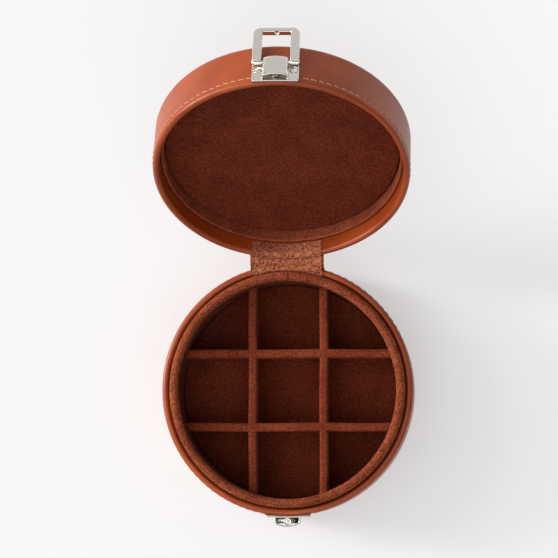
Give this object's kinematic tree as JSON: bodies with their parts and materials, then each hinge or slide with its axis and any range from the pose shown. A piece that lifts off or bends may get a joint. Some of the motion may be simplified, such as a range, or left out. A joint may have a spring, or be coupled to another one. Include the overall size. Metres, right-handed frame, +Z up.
{
  "type": "leather jewellery case",
  "caption": "Round leather case with a divided suede tray, a strap-hinged lid and a metal hasp that snaps over a spring catch.",
  "frame": {"origin": "centre of the base's underside, on the table", "axes": "+Z up, -Y towards the catch at the front, +Y towards the hinge, +X to the right as seen from the front; the lid is drawn open"},
  "size_m": [0.1286, 0.2445, 0.1428],
  "materials": {
    "leather": "saddle brown, smooth, satin",
    "suede": "brown suede with a short nap",
    "board": "grey board, uncoated",
    "foam": "soft wadding",
    "thread": "waxed tan thread",
    "nickel": "polished nickel plate",
    "spring_steel": "drawn wire"
  },
  "bodies": {
    "base": {"base_bottom_cover": "suede", "base_wall_board": "board", "base_floor_board": "board", "base_leather_wrap": "leather", "base_ring_core": "board", "base_ring_suede": "suede", "base_pad_board": "board", "base_floor_pad": "suede", "divider_left": "suede", "divider_right": "suede", "divider_front": "suede", "divider_back": "suede", "divider_boards": "board", "base_stitching": "thread", "catch_plate": "nickel", "catch_hood": "nickel", "catch_barrel": "nickel", "catch_spring": "spring_steel", "catch_screws": "nickel", "hinge_strap_outer": "leather", "hinge_strip_inner": "suede"},
    "lid": {"lid_wall_board": "board", "lid_top_board": "board", "lid_leather_side": "leather", "lid_leather_top": "leather", "lid_crown_padding": "foam", "lid_liner_ring": "suede", "lid_pad": "suede", "lid_pad_board": "board", "lid_pad_foam": "foam", "lid_stitching": "thread", "hasp_plate": "nickel", "hasp_bridge": "nickel", "hasp_pin": "nickel", "hasp_screws": "nickel"},
    "hasp": {"hasp_loop": "nickel"},
    "plunger": {"catch_plunger": "nickel"}
  },
  "joints": [
    {"name": "lid_hinge", "type": "hinge", "parent": "base", "child": "lid", "pos_m": [0, 0.0652, 0.0384], "axis": [1, 0, 0], "range_deg": [0, 128.5], "deforming": ["hinge_strap_outer", "hinge_strip_inner"]},
    {"name": "hasp_hinge", "type": "hinge", "parent": "lid", "child": "hasp", "pos_m": [0, 0.15596, 0.135], "axis": [1, 0, 0], "range_deg": [0, 178]},
    {"name": "plunger_slide", "type": "slide", "parent": "base", "child": "plunger", "axis": [0, 0, 1], "range_m": [0, 0.0012], "stiffness_N_per_m": 300, "springref_m": -0.0008, "deforming": ["catch_spring"]}
  ]
}
